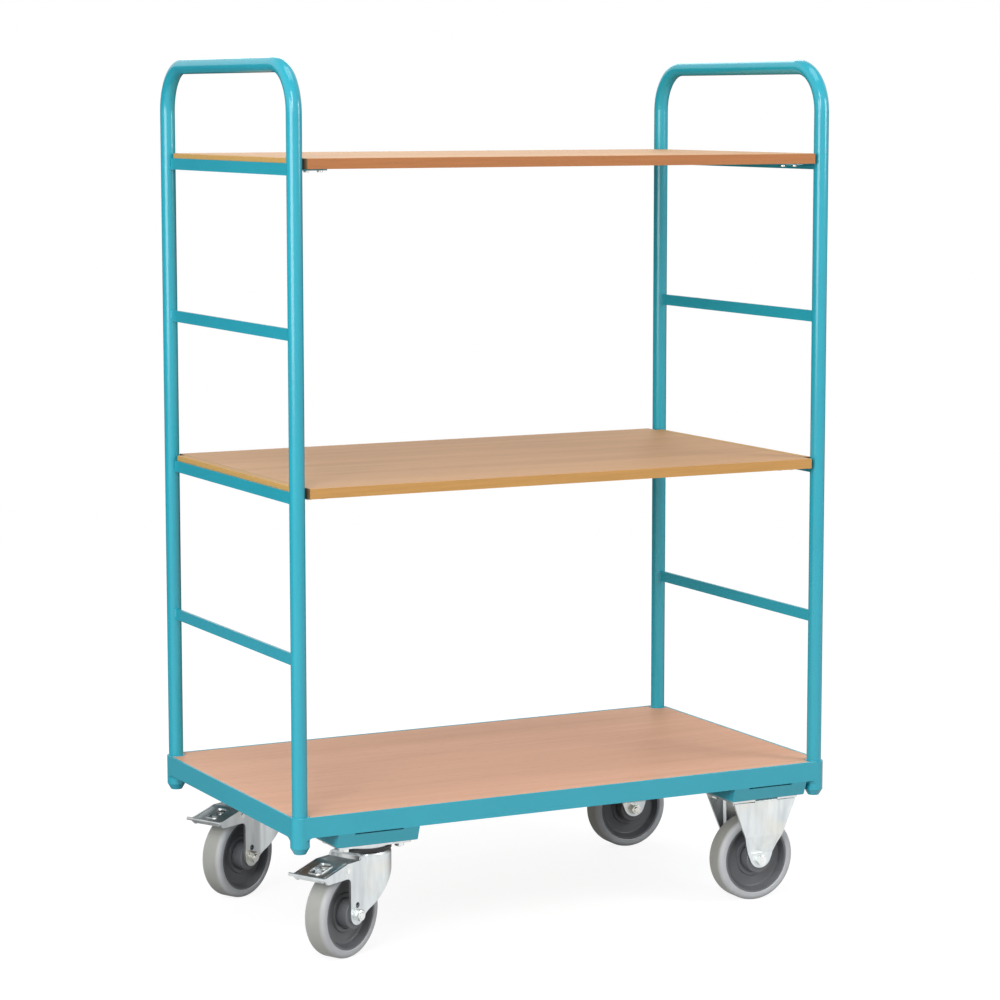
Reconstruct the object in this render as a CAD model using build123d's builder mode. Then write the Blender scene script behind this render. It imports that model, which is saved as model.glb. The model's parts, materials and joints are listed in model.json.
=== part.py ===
from build123d import *
import os
from math import cos, radians, sin

# A three-level shelf trolley: a welded base on four casters, two bent tube handles that plug into
# the base corners, and two boards that are screwed to flat bars between the handle tubes.
# Sizes are in millimetres. X runs along the long side from the swivel casters to the fixed casters,
# Y runs from the front to the rear and Z runs up. Each piece is modelled about the base's centre, and
# saved with the origin on the floor under the middle of the whole outline, front pedal included.

# Wheels
wheel_diameter = 160.0
tyre_width = 44.0
tyre_thickness = 15.0
tyre_shoulder = 10.0
tyre_bead = 1.5
rim_width = 41.0
rim_lip = 3.5
rim_well_depth = 10.0
rim_fillet = 4.0
rim_bore_diameter = 24.0
web_thickness = 15.0
step_ring_gap = 3.0
step_ring_width = 7.0
step_ring_rise = 3.0
hub_diameter = 52.0
hub_overhang = 9.0
hub_chamfer = 1.5
bearing_diameter = 32.0
bearing_width = 12.0
bearing_groove_depth = 1.2
axle_diameter = 12.0
axle_head_flats = 18.0
axle_head_height = 7.5
axle_nut_height = 10.0
axle_thread_end = 2.0

# Casters
fork_sheet = 4.5
leg_clearance = 0.5
leg_end_radius = 18.0
caster_offset = 61.0
caster_heading = 207.0
crown_bulge = 13.5
crown_clearance = 20.0
crown_edge_radius = 8.0
crown_corner_radius = 15.0
skirt_depth = 10.5
race_height = 6.0
plate_boss_height = 6.0
plate_boss_inset = 3.0
ball_clearance = 0.25
ball_count = 18
ball_circle_diameter = 54.0
seal_overhang = 0.5
seal_seat = 5.0
seal_clearance = 0.3
kingpin_diameter = 14.0
kingpin_head_diameter = 26.0
kingpin_head_height = 5.0
kingpin_head_clearance = 0.3
plate_length = 140.0
plate_width = 110.0
plate_thickness = 4.5
plate_corner_radius = 10.0
bolt_spacing_x = 105.0
nut_wing_gap = 1.0
bolt_diameter = 10.0
bolt_flats = 16.0
bolt_head_height = 6.4
bolt_nut_height = 8.0
bolt_thread_end = 1.5
running_clearance = 0.05
hole_clearance = 0.25

# Fork arms, brake pedal and fixed forks
arm_length = 88.0
arm_tip_height = 12.0
arm_tip_slant = 8.0
arm_drop = 12.0
arm_top_drop = 10.0
arm_corner_radius = 10.0
sight_hole_diameter = 10.5
sight_hole_rise = 17.0
pin_diameter = 6.0
pin_reach = 25.0
pin_rise = 2.0
pin_head_diameter = 9.0
pin_head_height = 1.5
pedal_sheet = 3.0
pedal_clearance = 0.6
pedal_crown_gap = 4.0
pedal_flange_depth = 8.0
pedal_ear_radius = 7.0
pedal_window_length = 38.0
pedal_window_width = 26.0
pedal_window_corner = 7.0
pedal_window_rim = 2.5
pedal_window_rise = 1.5
pedal_lip_diameter = 6.0
pedal_lip_gap = 2.5
pedal_lip_overhang = 4.0
shoe_reach = 18.0
shoe_length = 12.0
shoe_width = 28.0
shoe_drop = 8.0
fixed_leg_bend_height = 13.0
fixed_knee_height = 48.0
fixed_knee_inset = 3.0
fixed_tab_width = 48.0
fixed_wing_width = 132.0
fixed_wing_gap = 2.5
fixed_bend_radius = 2.5
fixed_step_depth = 4.0
fixed_step_width = 9.0
fixed_end_radius = 22.5
fixed_end_drop = 15.0

# Base
post_spacing_x = 1040.0
post_spacing_y = 585.0
swivel_channel_gap = 49.15
fixed_channel_gap = 9.15
caster_inset_y = 53.5
channel_height = 26.0
channel_margin = 7.0
channel_sheet = 4.0
channel_lean = 9.5
channel_bend_radius = 2.5
channel_slit_length = 93.0
channel_slit_height = 2.5
rail_height = 36.0
rail_wall = 4.0
rail_edge_radius = 1.0
ledge_depth = 30.0
ledge_thickness = 4.0
socket_diameter = 33.7
socket_clearance = 0.15
socket_chamfer = 1.0
foot_drop = 29.0
foot_taper_height = 11.0
foot_end_diameter = 21.0
foot_flare_radius = 8.0
drain_hole_diameter = 10.0
set_screw_diameter = 8.0
set_screw_length = 8.0
set_screw_rise = 9.0
deck_thickness = 18.0
deck_recess = 0.7
deck_gap = 0.5
deck_socket_gap = 1.0
deck_screws_long = 4
deck_screws_end = 2
deck_screw_spacing = 250.0

# Handles, bars and shelves
tube_diameter = 26.9
tube_wall = 2.3
handle_rise = 1292.0
handle_bend_radius = 80.0
bar_height = 20.6
bar_thickness = 5.0
bar_pitch = 278.0
lowest_bar_rise = 259.0
weld_gap = 0.1
notch_width = 7.0
notch_depth = 15.5
notch_radius = 3.4
shelf_thickness = 18.0
shelf_rise = 11.0
shelf_end_gap = 0.5
shelf_overhang = 11.0
shelf_tube_gap = 5.5
shelf_edge_radius = 0.8
lug_reach = 70.0
lug_width = 30.0
lug_thickness = 3.0
lug_inset = 33.0
lug_corner_radius = 6.0
lug_screw_reaches = (36.0, 61.0)
screw_diameter = 4.8
screw_length = 15.0
screw_head_diameter = 9.5
screw_head_height = 3.2
screw_key_diameter = 4.0
screw_key_depth = 1.8
screw_clearance = 0.1

# Heights, stacked up from the floor
wheel_radius = wheel_diameter / 2
crown_bottom = wheel_diameter + crown_clearance
crown_top = crown_bottom + fork_sheet
plate_bottom = crown_top + race_height + plate_boss_height
caster_height = plate_bottom + plate_thickness
rail_bottom = caster_height + channel_height
rail_top = rail_bottom + rail_height
foot_bottom = rail_bottom - foot_drop
tube_seat = foot_bottom + foot_taper_height
deck_top = rail_top - deck_recess
deck_bottom = deck_top - deck_thickness
handle_line = rail_top + handle_rise - tube_diameter / 2
lower_bar = rail_top + lowest_bar_rise
middle_bar = lower_bar + bar_pitch
upper_bar = middle_bar + bar_pitch
top_bar = upper_bar + bar_pitch

# Plan sizes, measured from the base's centre
post_x = post_spacing_x / 2
post_y = post_spacing_y / 2
base_x = post_x + socket_diameter / 2
base_y = post_y + socket_diameter / 2
socket_face = post_x - socket_diameter / 2
channel_width = plate_length + 2 * channel_margin
swivel_x = swivel_channel_gap + channel_width / 2 - socket_face
fixed_x = socket_face - fixed_channel_gap - channel_width / 2
caster_y = post_y - caster_inset_y
bolt_spacing_y = plate_width - 2 * (fork_sheet + fixed_step_depth + nut_wing_gap) - bolt_flats
lug_y = post_y - lug_inset
posts = [(x, y) for x in (-post_x, post_x) for y in (-post_y, post_y)]
caster_centres = [(x, y) for x in (swivel_x, fixed_x) for y in (-caster_y, caster_y)]
ledge_x = base_x - rail_wall - ledge_depth / 2
ledge_y = base_y - rail_wall - ledge_depth / 2
long_steps = [(step - (deck_screws_long - 1) / 2) * deck_screw_spacing for step in range(deck_screws_long)]
end_steps = [(step - (deck_screws_end - 1) / 2) * deck_screw_spacing for step in range(deck_screws_end)]
deck_screw_places = [(x, y) for x in long_steps for y in (-ledge_y, ledge_y)]
deck_screw_places += [(x, y) for x in (-ledge_x, ledge_x) for y in end_steps]

# Sizes across a caster, measured from its wheel's middle plane
hub_half = tyre_width / 2 + hub_overhang
leg_inner = hub_half + leg_clearance
leg_outer = leg_inner + fork_sheet
crown_radius = leg_outer + crown_bulge

# Places along a swivel caster, measured from its kingpin
leg_trailing = caster_offset + leg_end_radius
arm_tip = caster_offset + arm_length
arm_bottom = wheel_diameter - arm_drop
arm_top = arm_bottom + arm_tip_height
arm_root = crown_radius + pedal_crown_gap / 2
pin_along = caster_offset + pin_reach
pin_height = wheel_diameter + pin_rise
kink_height = crown_top - arm_top_drop
lip_along = arm_tip + pedal_lip_gap + pedal_lip_diameter / 2
lip_half = leg_outer + pedal_lip_overhang

# Shift that puts the middle of the whole outline over the origin: the front pedal stands out furthest
pedal_reach = (lip_along + pedal_lip_diameter / 2) * abs(sin(radians(caster_heading)))
front_reach = caster_y + pedal_reach + lip_half * abs(cos(radians(caster_heading)))
outline_shift = (max(front_reach, base_y) - base_y) / 2

os.makedirs("parts", exist_ok=True)


def save(piece, name):
    """Move a finished piece to the shared origin, label it and write it as one STEP file."""
    piece.part.position += (0, outline_shift, 0)
    piece.part.label = name
    export_step(piece.part, f"parts/{name}.step")


def floor_plane(x, y, heading):
    """Plane on the floor under a caster, with local x pointing from the kingpin towards the wheel."""
    trail = (cos(radians(heading)), sin(radians(heading)), 0)
    return Plane(origin=(x, y, 0), x_dir=trail, z_dir=(0, 0, 1))


def side_plane(floor, along=0.0, height=0.0):
    """Plane through a caster's middle: local x along its trail, local y up, the normal along the axle."""
    origin = floor.from_local_coords((along, 0, height))
    return Plane(origin=origin, x_dir=floor.x_dir, z_dir=-floor.y_dir)


def wheel_section(floor, along):
    """Plane through a wheel's axle: local x points along the axle and local y up from its centre."""
    side = side_plane(floor, along, wheel_radius)
    return Plane(origin=side.origin, x_dir=side.z_dir, z_dir=side.z_dir.cross(Vector(0, 0, 1)))


def hexagon_blank(flats, height):
    """A hexagonal head or nut body with the corners of its top end turned off."""
    corner = flats / 3**0.5
    with BuildPart() as turned:
        Cylinder(corner, height, align=(Align.CENTER, Align.CENTER, Align.MIN))
        chamfer(turned.edges().group_by(Axis.Z)[-1], flats * 0.06, flats * 0.1)
    with BuildPart() as blank:
        with BuildSketch():
            RegularPolygon(flats / 2, 6, major_radius=False)
        extrude(amount=height)
        add(turned.part, mode=Mode.INTERSECT)
    return blank.part


def hexagon_bolt(diameter, length, flats, head_height):
    """A bolt with its head standing on z = 0 and its shank hanging below."""
    with BuildPart() as bolt:
        add(hexagon_blank(flats, head_height))
        Cylinder(diameter / 2, length, align=(Align.CENTER, Align.CENTER, Align.MAX))
        chamfer(bolt.edges().group_by(Axis.Z)[0], diameter * 0.08)
    return bolt.part


def hexagon_nut(diameter, flats, height):
    """A nut that hangs below z = 0."""
    with BuildPart() as nut:
        add(hexagon_blank(flats, height), rotation=(180, 0, 0))
        Hole(diameter / 2 + running_clearance)
    return nut.part


def wood_screw():
    """A screw driven upwards: its head hangs below z = 0 and its shank stands above."""
    with BuildPart() as screw:
        Cylinder(
            screw_head_diameter / 2, screw_head_height, align=(Align.CENTER, Align.CENTER, Align.MAX)
        )
        fillet(screw.edges().group_by(Axis.Z)[0], screw_head_height * 0.4)
        Cylinder(screw_diameter / 2, screw_length, align=(Align.CENTER, Align.CENTER, Align.MIN))
        with BuildSketch(Plane.XY.offset(-screw_head_height)):
            RegularPolygon(screw_key_diameter / 2, 6)
        extrude(amount=screw_key_depth, mode=Mode.SUBTRACT)
    return screw.part


def set_screw_plane(x, y):
    """Plane in a socket's axis that looks along its set screw, towards the base's centre."""
    return Plane(origin=(x, y, tube_seat + set_screw_rise), z_dir=(-x, -y, 0))


def foot_flare(x, y):
    """A fillet that runs out from a socket under its two rails and leaves the corner's round free."""
    socket_radius = socket_diameter / 2
    with BuildPart() as flare:
        with BuildSketch(Plane(origin=(x, y, rail_bottom), x_dir=(1, 0, 0), z_dir=(0, -1, 0))):
            with Locations((socket_radius + foot_flare_radius / 4, -(foot_flare_radius + weld_gap) / 2)):
                Rectangle(1.5 * foot_flare_radius, foot_flare_radius - weld_gap)
            with Locations((socket_radius + foot_flare_radius, -foot_flare_radius)):
                Circle(foot_flare_radius, mode=Mode.SUBTRACT)
        revolve(axis=Axis((x, y, 0), (0, 0, 1)))
        with BuildSketch():
            Rectangle(2 * post_x, 2 * (base_y - weld_gap))
            Rectangle(2 * (base_x - weld_gap), 2 * post_y)
        extrude(amount=rail_top, mode=Mode.INTERSECT)
    return flare.part


def corner_socket(x, y):
    """One corner socket: a short pipe welded between two rails, drawn in at its foot."""
    with BuildPart() as socket:
        with Locations((x, y, tube_seat)):
            Cylinder(
                socket_diameter / 2, rail_top - tube_seat, align=(Align.CENTER, Align.CENTER, Align.MIN)
            )
            Cone(
                foot_end_diameter / 2,
                socket_diameter / 2,
                foot_taper_height,
                align=(Align.CENTER, Align.CENTER, Align.MAX),
            )
        chamfer(socket.edges().group_by(Axis.Z)[-1], socket_chamfer)
        add(foot_flare(x, y))
        with Locations((x, y, rail_top)):
            Hole(tube_diameter / 2 + socket_clearance, rail_top - tube_seat)
            Hole(drain_hole_diameter / 2)
        with Locations(set_screw_plane(x, y)):
            Cylinder(
                set_screw_diameter / 2 + running_clearance,
                socket_diameter,
                align=(Align.CENTER, Align.CENTER, Align.MIN),
                mode=Mode.SUBTRACT,
            )
    return socket


def rail_section(outer, inward):
    """Section of one rail on the current plane: an upright wall with a ledge that carries the deck."""
    with Locations((outer + inward * rail_wall / 2, rail_bottom + rail_height / 2)):
        Rectangle(rail_wall, rail_height)
    with Locations((outer + inward * (rail_wall + ledge_depth) / 2, deck_bottom - ledge_thickness / 2)):
        Rectangle(rail_wall + ledge_depth, ledge_thickness)


def trim_rail(rail):
    """Round a rail's top edges, cope its ends to the sockets and drill its ledge for the deck screws."""
    fillet(rail.edges().group_by(Axis.Z)[-1].sort_by(SortBy.LENGTH)[-2:], rail_edge_radius)
    with Locations([(x, y, rail_bottom) for x, y in posts]):
        Cylinder(
            socket_diameter / 2 + weld_gap,
            rail_height,
            align=(Align.CENTER, Align.CENTER, Align.MIN),
            mode=Mode.SUBTRACT,
        )
    with Locations([(x, y, deck_bottom) for x, y in deck_screw_places]):
        Hole(screw_diameter / 2 + screw_clearance, ledge_thickness)


def long_rail(side):
    """Front or rear rail, between the sockets of the two ends."""
    with BuildPart() as rail:
        with BuildSketch(Plane.YZ.offset(-post_x)):
            rail_section(side * base_y, -side)
        extrude(amount=post_spacing_x)
        trim_rail(rail)
    return rail


def end_rail(side):
    """Left or right rail: its ledge stops at the ledges of the long rails, its wall at the sockets."""
    ledge_end = base_y - rail_wall - ledge_depth - weld_gap
    with BuildPart() as rail:
        with BuildSketch(Plane.XZ.offset(-post_y)):
            rail_section(side * base_x, -side)
        extrude(amount=post_spacing_y)
        trim_rail(rail)
        for end in (-1, 1):
            with Locations((side * ledge_x, end * (ledge_end + base_y) / 2, deck_bottom)):
                Box(ledge_depth, base_y - ledge_end, 2 * rail_height, mode=Mode.SUBTRACT)
    return rail


def caster_channel(x):
    """A folded tray under the long rails, with end flaps that lean in and leave a slit under the rail."""
    with BuildPart() as channel:
        with BuildSketch(Plane.YZ.offset(x - channel_width / 2)):
            Polygon(
                (-base_y, rail_bottom),
                (channel_lean - base_y, caster_height),
                (base_y - channel_lean, caster_height),
                (base_y, rail_bottom),
            )
        extrude(amount=channel_width)
        offset(amount=-channel_sheet, openings=channel.faces().sort_by(Axis.Z)[-1])
        fillet(channel.faces().sort_by(Axis.Z)[0].edges(), channel_bend_radius)
        with Locations((x, 0, rail_bottom)):
            Box(
                channel_slit_length,
                2 * base_y,
                channel_slit_height,
                align=(Align.CENTER, Align.CENTER, Align.MAX),
                mode=Mode.SUBTRACT,
            )
        with Locations((x, -caster_y, rail_bottom), (x, caster_y, rail_bottom)):
            with GridLocations(bolt_spacing_x, bolt_spacing_y, 2, 2):
                Hole(bolt_diameter / 2 + hole_clearance)
    return channel


def handle_tube(x):
    """One handle: a single tube bent into a U that stands in the two sockets of one end."""
    with BuildPart() as tube:
        with BuildLine(Plane.YZ.offset(x)) as path:
            FilletPolyline(
                (-post_y, tube_seat),
                (-post_y, handle_line),
                (post_y, handle_line),
                (post_y, tube_seat),
                radius=handle_bend_radius,
            )
        with BuildSketch(Plane(origin=path.line @ 0, z_dir=path.line % 0)):
            Circle(tube_diameter / 2)
            Circle(tube_diameter / 2 - tube_wall, mode=Mode.SUBTRACT)
        sweep()
    return tube


def cope_bar(x, bottom):
    """Cut a bar's ends to the round of the two tubes that it is welded between."""
    with Locations((x, -post_y, bottom), (x, post_y, bottom)):
        Cylinder(
            tube_diameter / 2 + weld_gap,
            bar_height,
            align=(Align.CENTER, Align.CENTER, Align.MIN),
            mode=Mode.SUBTRACT,
        )


def crossbar(x, bottom):
    """A plain flat bar on edge between the two legs of one handle."""
    with BuildPart() as bar:
        with Locations((x, 0, bottom)):
            Box(bar_thickness, post_spacing_y, bar_height, align=(Align.CENTER, Align.CENTER, Align.MIN))
        cope_bar(x, bottom)
    return bar


def shelf_bar(x, bottom):
    """A flat bar that carries a shelf's end: notched beside the tubes, with two welded screw lugs."""
    inward = -x / abs(x)
    lug_length = lug_reach - bar_thickness / 2
    lug_middle = x + inward * (bar_thickness + lug_length) / 2
    lug_top = bottom + shelf_rise
    with BuildPart() as bar:
        with Locations((x, 0, bottom)):
            Box(bar_thickness, post_spacing_y, bar_height, align=(Align.CENTER, Align.CENTER, Align.MIN))
        cope_bar(x, bottom)
        with BuildSketch(Plane.YZ.offset(x - bar_thickness)):
            with Locations((-post_y, bottom + bar_height), (post_y, bottom + bar_height)):
                RectangleRounded(tube_diameter + 2 * notch_width, 2 * notch_depth, notch_radius)
        extrude(amount=2 * bar_thickness, mode=Mode.SUBTRACT)
        with BuildSketch(Plane.XY.offset(lug_top)) as lugs:
            with Locations((lug_middle, -lug_y), (lug_middle, lug_y)):
                Rectangle(lug_length, lug_width)
            fillet(lugs.vertices().sort_by_distance((x, 0))[-4:], lug_corner_radius)
            with Locations(lug_screw_places(x)):
                Circle(screw_diameter / 2 + hole_clearance, mode=Mode.SUBTRACT)
        extrude(amount=-lug_thickness)
    return bar


def lug_screw_places(x):
    """Plan places of the four screws in the lugs at one end."""
    inward = -x / abs(x)
    return [(x + inward * reach, y) for reach in lug_screw_reaches for y in (-lug_y, lug_y)]


def shelf_board(bar):
    """A board that lies on the lugs between two shelf bars, cut out at its corners round the tubes."""
    bottom = bar + shelf_rise
    length = post_spacing_x - bar_thickness - 2 * shelf_end_gap
    cut_out = tube_diameter / 2 + shelf_tube_gap
    with BuildPart() as board:
        with BuildSketch(Plane.XY.offset(bottom)):
            Rectangle(length, post_spacing_y + 2 * shelf_overhang)
            with Locations(posts):
                Rectangle(2 * cut_out, 2 * cut_out, mode=Mode.SUBTRACT)
        extrude(amount=shelf_thickness)
        fillet(board.faces().sort_by(Axis.Z)[-1].edges(), shelf_edge_radius)
        with Locations([(x, y, bottom) for end in (-post_x, post_x) for x, y in lug_screw_places(end)]):
            Cylinder(
                screw_diameter / 2 + screw_clearance,
                screw_length,
                align=(Align.CENTER, Align.CENTER, Align.MIN),
                mode=Mode.SUBTRACT,
            )
    return board


def mounting_plate(x, y):
    """Outline of a caster's top plate with its four bolt holes, on the current plane."""
    with Locations((x, y)):
        RectangleRounded(plate_length, plate_width, plate_corner_radius)
        with GridLocations(bolt_spacing_x, bolt_spacing_y, 2, 2):
            Circle(bolt_diameter / 2 + hole_clearance, mode=Mode.SUBTRACT)


def swivel_plate(x, y):
    """Top plate of a swivel caster, with a round boss over the balls and the kingpin's hole."""
    with BuildPart() as plate:
        with BuildSketch(Plane.XY.offset(plate_bottom)):
            mounting_plate(x, y)
        extrude(amount=plate_thickness)
        with Locations((x, y, plate_bottom)):
            Cylinder(
                crown_radius - plate_boss_inset,
                plate_boss_height,
                align=(Align.CENTER, Align.CENTER, Align.MAX),
            )
        with Locations((x, y, caster_height)):
            Hole(kingpin_diameter / 2 + running_clearance)
    return plate


def fork_plan(plan, radius, half_width, corner_radius):
    """Plan of a swivel fork in the given sketch: a round crown that runs into two straight legs."""
    Circle(radius)
    with Locations((arm_tip, 0)):
        Rectangle(2 * arm_tip, 2 * half_width)
    fillet(plan.vertices().group_by(Axis.X)[0], corner_radius)


def swivel_fork(floor):
    """A fork pressed from one sheet: crown, round skirt, two legs to the axle and two pedal arms."""
    front = -crown_radius - fork_sheet
    with BuildPart() as fork:
        with BuildSketch(floor) as outer_plan:
            fork_plan(outer_plan, crown_radius, leg_outer, crown_corner_radius)
        extrude(amount=crown_top)
        fillet(fork.faces().sort_by(Axis.Z)[-1].edges(), crown_edge_radius)
        with BuildSketch(side_plane(floor)) as side:
            with BuildLine():
                CenterArc((caster_offset, wheel_radius), leg_end_radius, 0, 360)
                Polyline((front, crown_top - skirt_depth), (front, crown_top), (leg_trailing, crown_top))
            make_hull()
            Polygon(
                (caster_offset, arm_bottom),
                (arm_tip - arm_tip_slant, arm_bottom),
                (arm_tip, arm_top),
                (arm_tip, crown_top),
                (caster_offset, crown_top),
            )
            Polygon(
                (arm_root - pedal_crown_gap, crown_top),
                (arm_root, kink_height),
                (pin_along, kink_height),
                (arm_tip, arm_top),
                (arm_tip, crown_top),
                mode=Mode.SUBTRACT,
            )
            fillet(side.vertices().sort_by_distance((leg_trailing, arm_bottom))[0], arm_corner_radius)
        extrude(amount=2 * crown_radius, both=True, mode=Mode.INTERSECT)
        with BuildSketch(floor) as inner_plan:
            fork_plan(inner_plan, crown_radius - fork_sheet, leg_inner, crown_corner_radius + fork_sheet)
        extrude(amount=crown_bottom, mode=Mode.SUBTRACT)
        with BuildSketch(floor.offset(wheel_diameter)):
            with Locations((arm_root + arm_tip / 2, 0)):
                Rectangle(arm_tip, 2 * leg_inner)
        extrude(amount=caster_height - wheel_diameter, mode=Mode.SUBTRACT)
        with Locations(floor.offset(crown_top)):
            Hole(kingpin_diameter / 2 + running_clearance)
        with Locations(side_plane(floor, caster_offset, wheel_radius)):
            Hole(axle_diameter / 2 + running_clearance)
        with Locations(side_plane(floor, caster_offset, wheel_radius + sight_hole_rise)):
            Hole(sight_hole_diameter / 2)
        with Locations(side_plane(floor, pin_along, pin_height)):
            Hole(pin_diameter / 2 + running_clearance)
    return fork


def fixed_leg(side, inset):
    """Section of one leg of a fixed fork on the current plane, set in towards the wheel by the inset."""
    outer = [
        (leg_outer - inset, -2 * fixed_end_drop),
        (leg_outer - inset, fixed_leg_bend_height),
        (plate_width / 2 - fixed_knee_inset - inset, fixed_knee_height),
        (plate_width / 2 - inset, caster_height - wheel_radius),
    ]
    inner = [(across - fork_sheet, height) for across, height in reversed(outer)]
    Polygon(*[(side * across, height) for across, height in outer + inner])


def fixed_fork(floor):
    """A fixed fork pressed with its plate: two legs drop from the plate's edges and slope in to the hub
    below a knee, and their wings are set in beside the middle panel that carries on from the plate."""
    section = wheel_section(floor, 0.0)
    panel_half = fixed_tab_width / 2
    wing_start = panel_half + fixed_step_width
    wing_top = caster_height - fork_sheet - fixed_wing_gap
    end_height = wheel_radius - fixed_end_drop + fixed_end_radius
    with BuildPart() as fork:
        with BuildSketch(section) as panel:
            fixed_leg(-1, 0.0)
            fixed_leg(1, 0.0)
            with Locations((0, caster_height - wheel_radius - fork_sheet / 2)):
                Rectangle(plate_width - fork_sheet, fork_sheet)
            corners = panel.vertices().group_by(Axis.Y)
            fillet(corners[-1], fork_sheet + fixed_bend_radius)
            fillet(corners[-2], fixed_bend_radius)
        extrude(amount=panel_half, both=True)
        for side in (-1, 1):
            for end in (-1, 1):
                with BuildSketch(section.offset(end * panel_half)):
                    fixed_leg(side, 0.0)
                with BuildSketch(section.offset(end * wing_start)) as wing:
                    fixed_leg(side, fixed_step_depth)
                loft()
                extrude(wing.sketch, amount=end * plate_length / 2)
        with BuildSketch(side_plane(floor)):
            with BuildLine():
                CenterArc((0, end_height), fixed_end_radius, 0, 360)
                Line((-fixed_wing_width / 2, wing_top), (fixed_wing_width / 2, wing_top))
            make_hull()
            with Locations((0, (wing_top + caster_height) / 2)):
                Rectangle(fixed_tab_width, caster_height - wing_top)
        extrude(amount=plate_width, both=True, mode=Mode.INTERSECT)
        with BuildSketch(floor.offset(caster_height - fork_sheet)):
            mounting_plate(0, 0)
            with Locations((0, -plate_width / 2), (0, plate_width / 2)):
                Rectangle(fixed_tab_width, 2 * (fork_sheet + fixed_bend_radius), mode=Mode.SUBTRACT)
        extrude(amount=fork_sheet)
        with Locations(side_plane(floor, 0.0, wheel_radius)):
            Hole(axle_diameter / 2 + running_clearance)
    return fork


def pedal_height(along):
    """Height of the sloping front of a pedal's top face."""
    return kink_height + (along - pin_along) * (arm_top - kink_height) / (arm_tip - pin_along)


def brake_pedal(floor):
    """A pressed pedal between the fork's arms: side flanges, window, rolled lip and brake shoe."""
    half_width = leg_inner - pedal_clearance
    rear = arm_root + pedal_crown_gap / 2
    ear_bottom = pin_height - pedal_ear_radius
    lip_height = arm_top - pedal_sheet + pedal_lip_diameter / 2
    shoe_front = pin_along + shoe_reach
    shoe_back = shoe_front + shoe_length
    window_along = (pin_along + arm_tip) / 2
    slope_x = floor.x_dir * (arm_tip - pin_along) - floor.z_dir * (kink_height - arm_top)
    window_origin = floor.from_local_coords((window_along, 0, pedal_height(window_along)))
    window_plane = Plane(origin=window_origin, x_dir=slope_x, z_dir=slope_x.cross(floor.y_dir))
    top_line = [(rear, kink_height), (pin_along, kink_height), (arm_tip, arm_top), (lip_along, arm_top)]
    with BuildPart() as pedal:
        with BuildSketch(side_plane(floor)):
            Polygon(
                *top_line,
                (lip_along, arm_top - pedal_sheet),
                (arm_tip, arm_top - pedal_flange_depth),
                (pin_along + pedal_ear_radius, ear_bottom),
                (pin_along - pedal_ear_radius, ear_bottom),
                (rear, kink_height - pedal_flange_depth),
            )
        extrude(amount=half_width, both=True)
        top_faces = pedal.faces().filter_by(lambda face: face.normal_at().Z > face.normal_at().length / 2)
        side_edges = top_faces.edges().filter_by(
            lambda edge: abs(floor.to_local_coords(edge.center()).Y) > half_width / 2
        )
        fillet(side_edges, pedal_sheet * 0.8)
        with BuildSketch(side_plane(floor)):
            Polygon(
                *[(along, height - pedal_sheet) for along, height in top_line[:3]],
                (arm_tip, ear_bottom - pedal_sheet),
                (rear, ear_bottom - pedal_sheet),
            )
        extrude(amount=half_width - pedal_sheet, both=True, mode=Mode.SUBTRACT)
        with BuildSketch(side_plane(floor)):
            Polygon(
                (shoe_front, pin_height - shoe_drop),
                (shoe_back, pin_height - shoe_drop),
                (shoe_back, pedal_height(shoe_back) - pedal_sheet / 2),
                (shoe_front, pedal_height(shoe_front) - pedal_sheet / 2),
            )
        extrude(amount=shoe_width / 2, both=True)
        with BuildSketch(window_plane):
            RectangleRounded(
                pedal_window_length + 2 * pedal_window_rim,
                pedal_window_width + 2 * pedal_window_rim,
                pedal_window_corner + pedal_window_rim,
            )
        extrude(amount=pedal_window_rise)
        with BuildSketch(window_plane):
            RectangleRounded(pedal_window_length, pedal_window_width, pedal_window_corner)
        extrude(amount=2 * pedal_sheet, both=True, mode=Mode.SUBTRACT)
        with Locations(side_plane(floor, lip_along, lip_height)):
            Cylinder(pedal_lip_diameter / 2, 2 * lip_half)
        with Locations(side_plane(floor, pin_along, pin_height)):
            Hole(pin_diameter / 2 + running_clearance)
    return pedal


def pedal_pin(floor):
    """A hinge pin through the fork's arms and the pedal's flanges, riveted over at both ends."""
    with BuildPart() as pin:
        with Locations(side_plane(floor, pin_along, pin_height)):
            Cylinder(pin_diameter / 2, 2 * leg_outer)
        for end in (-1, 1):
            head_middle = end * (leg_outer + pin_head_height / 2)
            with Locations(side_plane(floor, pin_along, pin_height).offset(head_middle)):
                Cylinder(pin_head_diameter / 2, pin_head_height)
    return pin


def seal_ring(floor):
    """A black ring on the fork's crown that closes the ball race under the plate."""
    with BuildPart() as ring:
        with BuildSketch(floor.offset(crown_top)):
            Circle(crown_radius + seal_overhang)
            Circle(crown_radius - crown_edge_radius - seal_seat, mode=Mode.SUBTRACT)
        extrude(amount=race_height - seal_clearance)
        fillet(ring.edges().group_by(Axis.Z)[-1], seal_clearance)
    return ring


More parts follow.
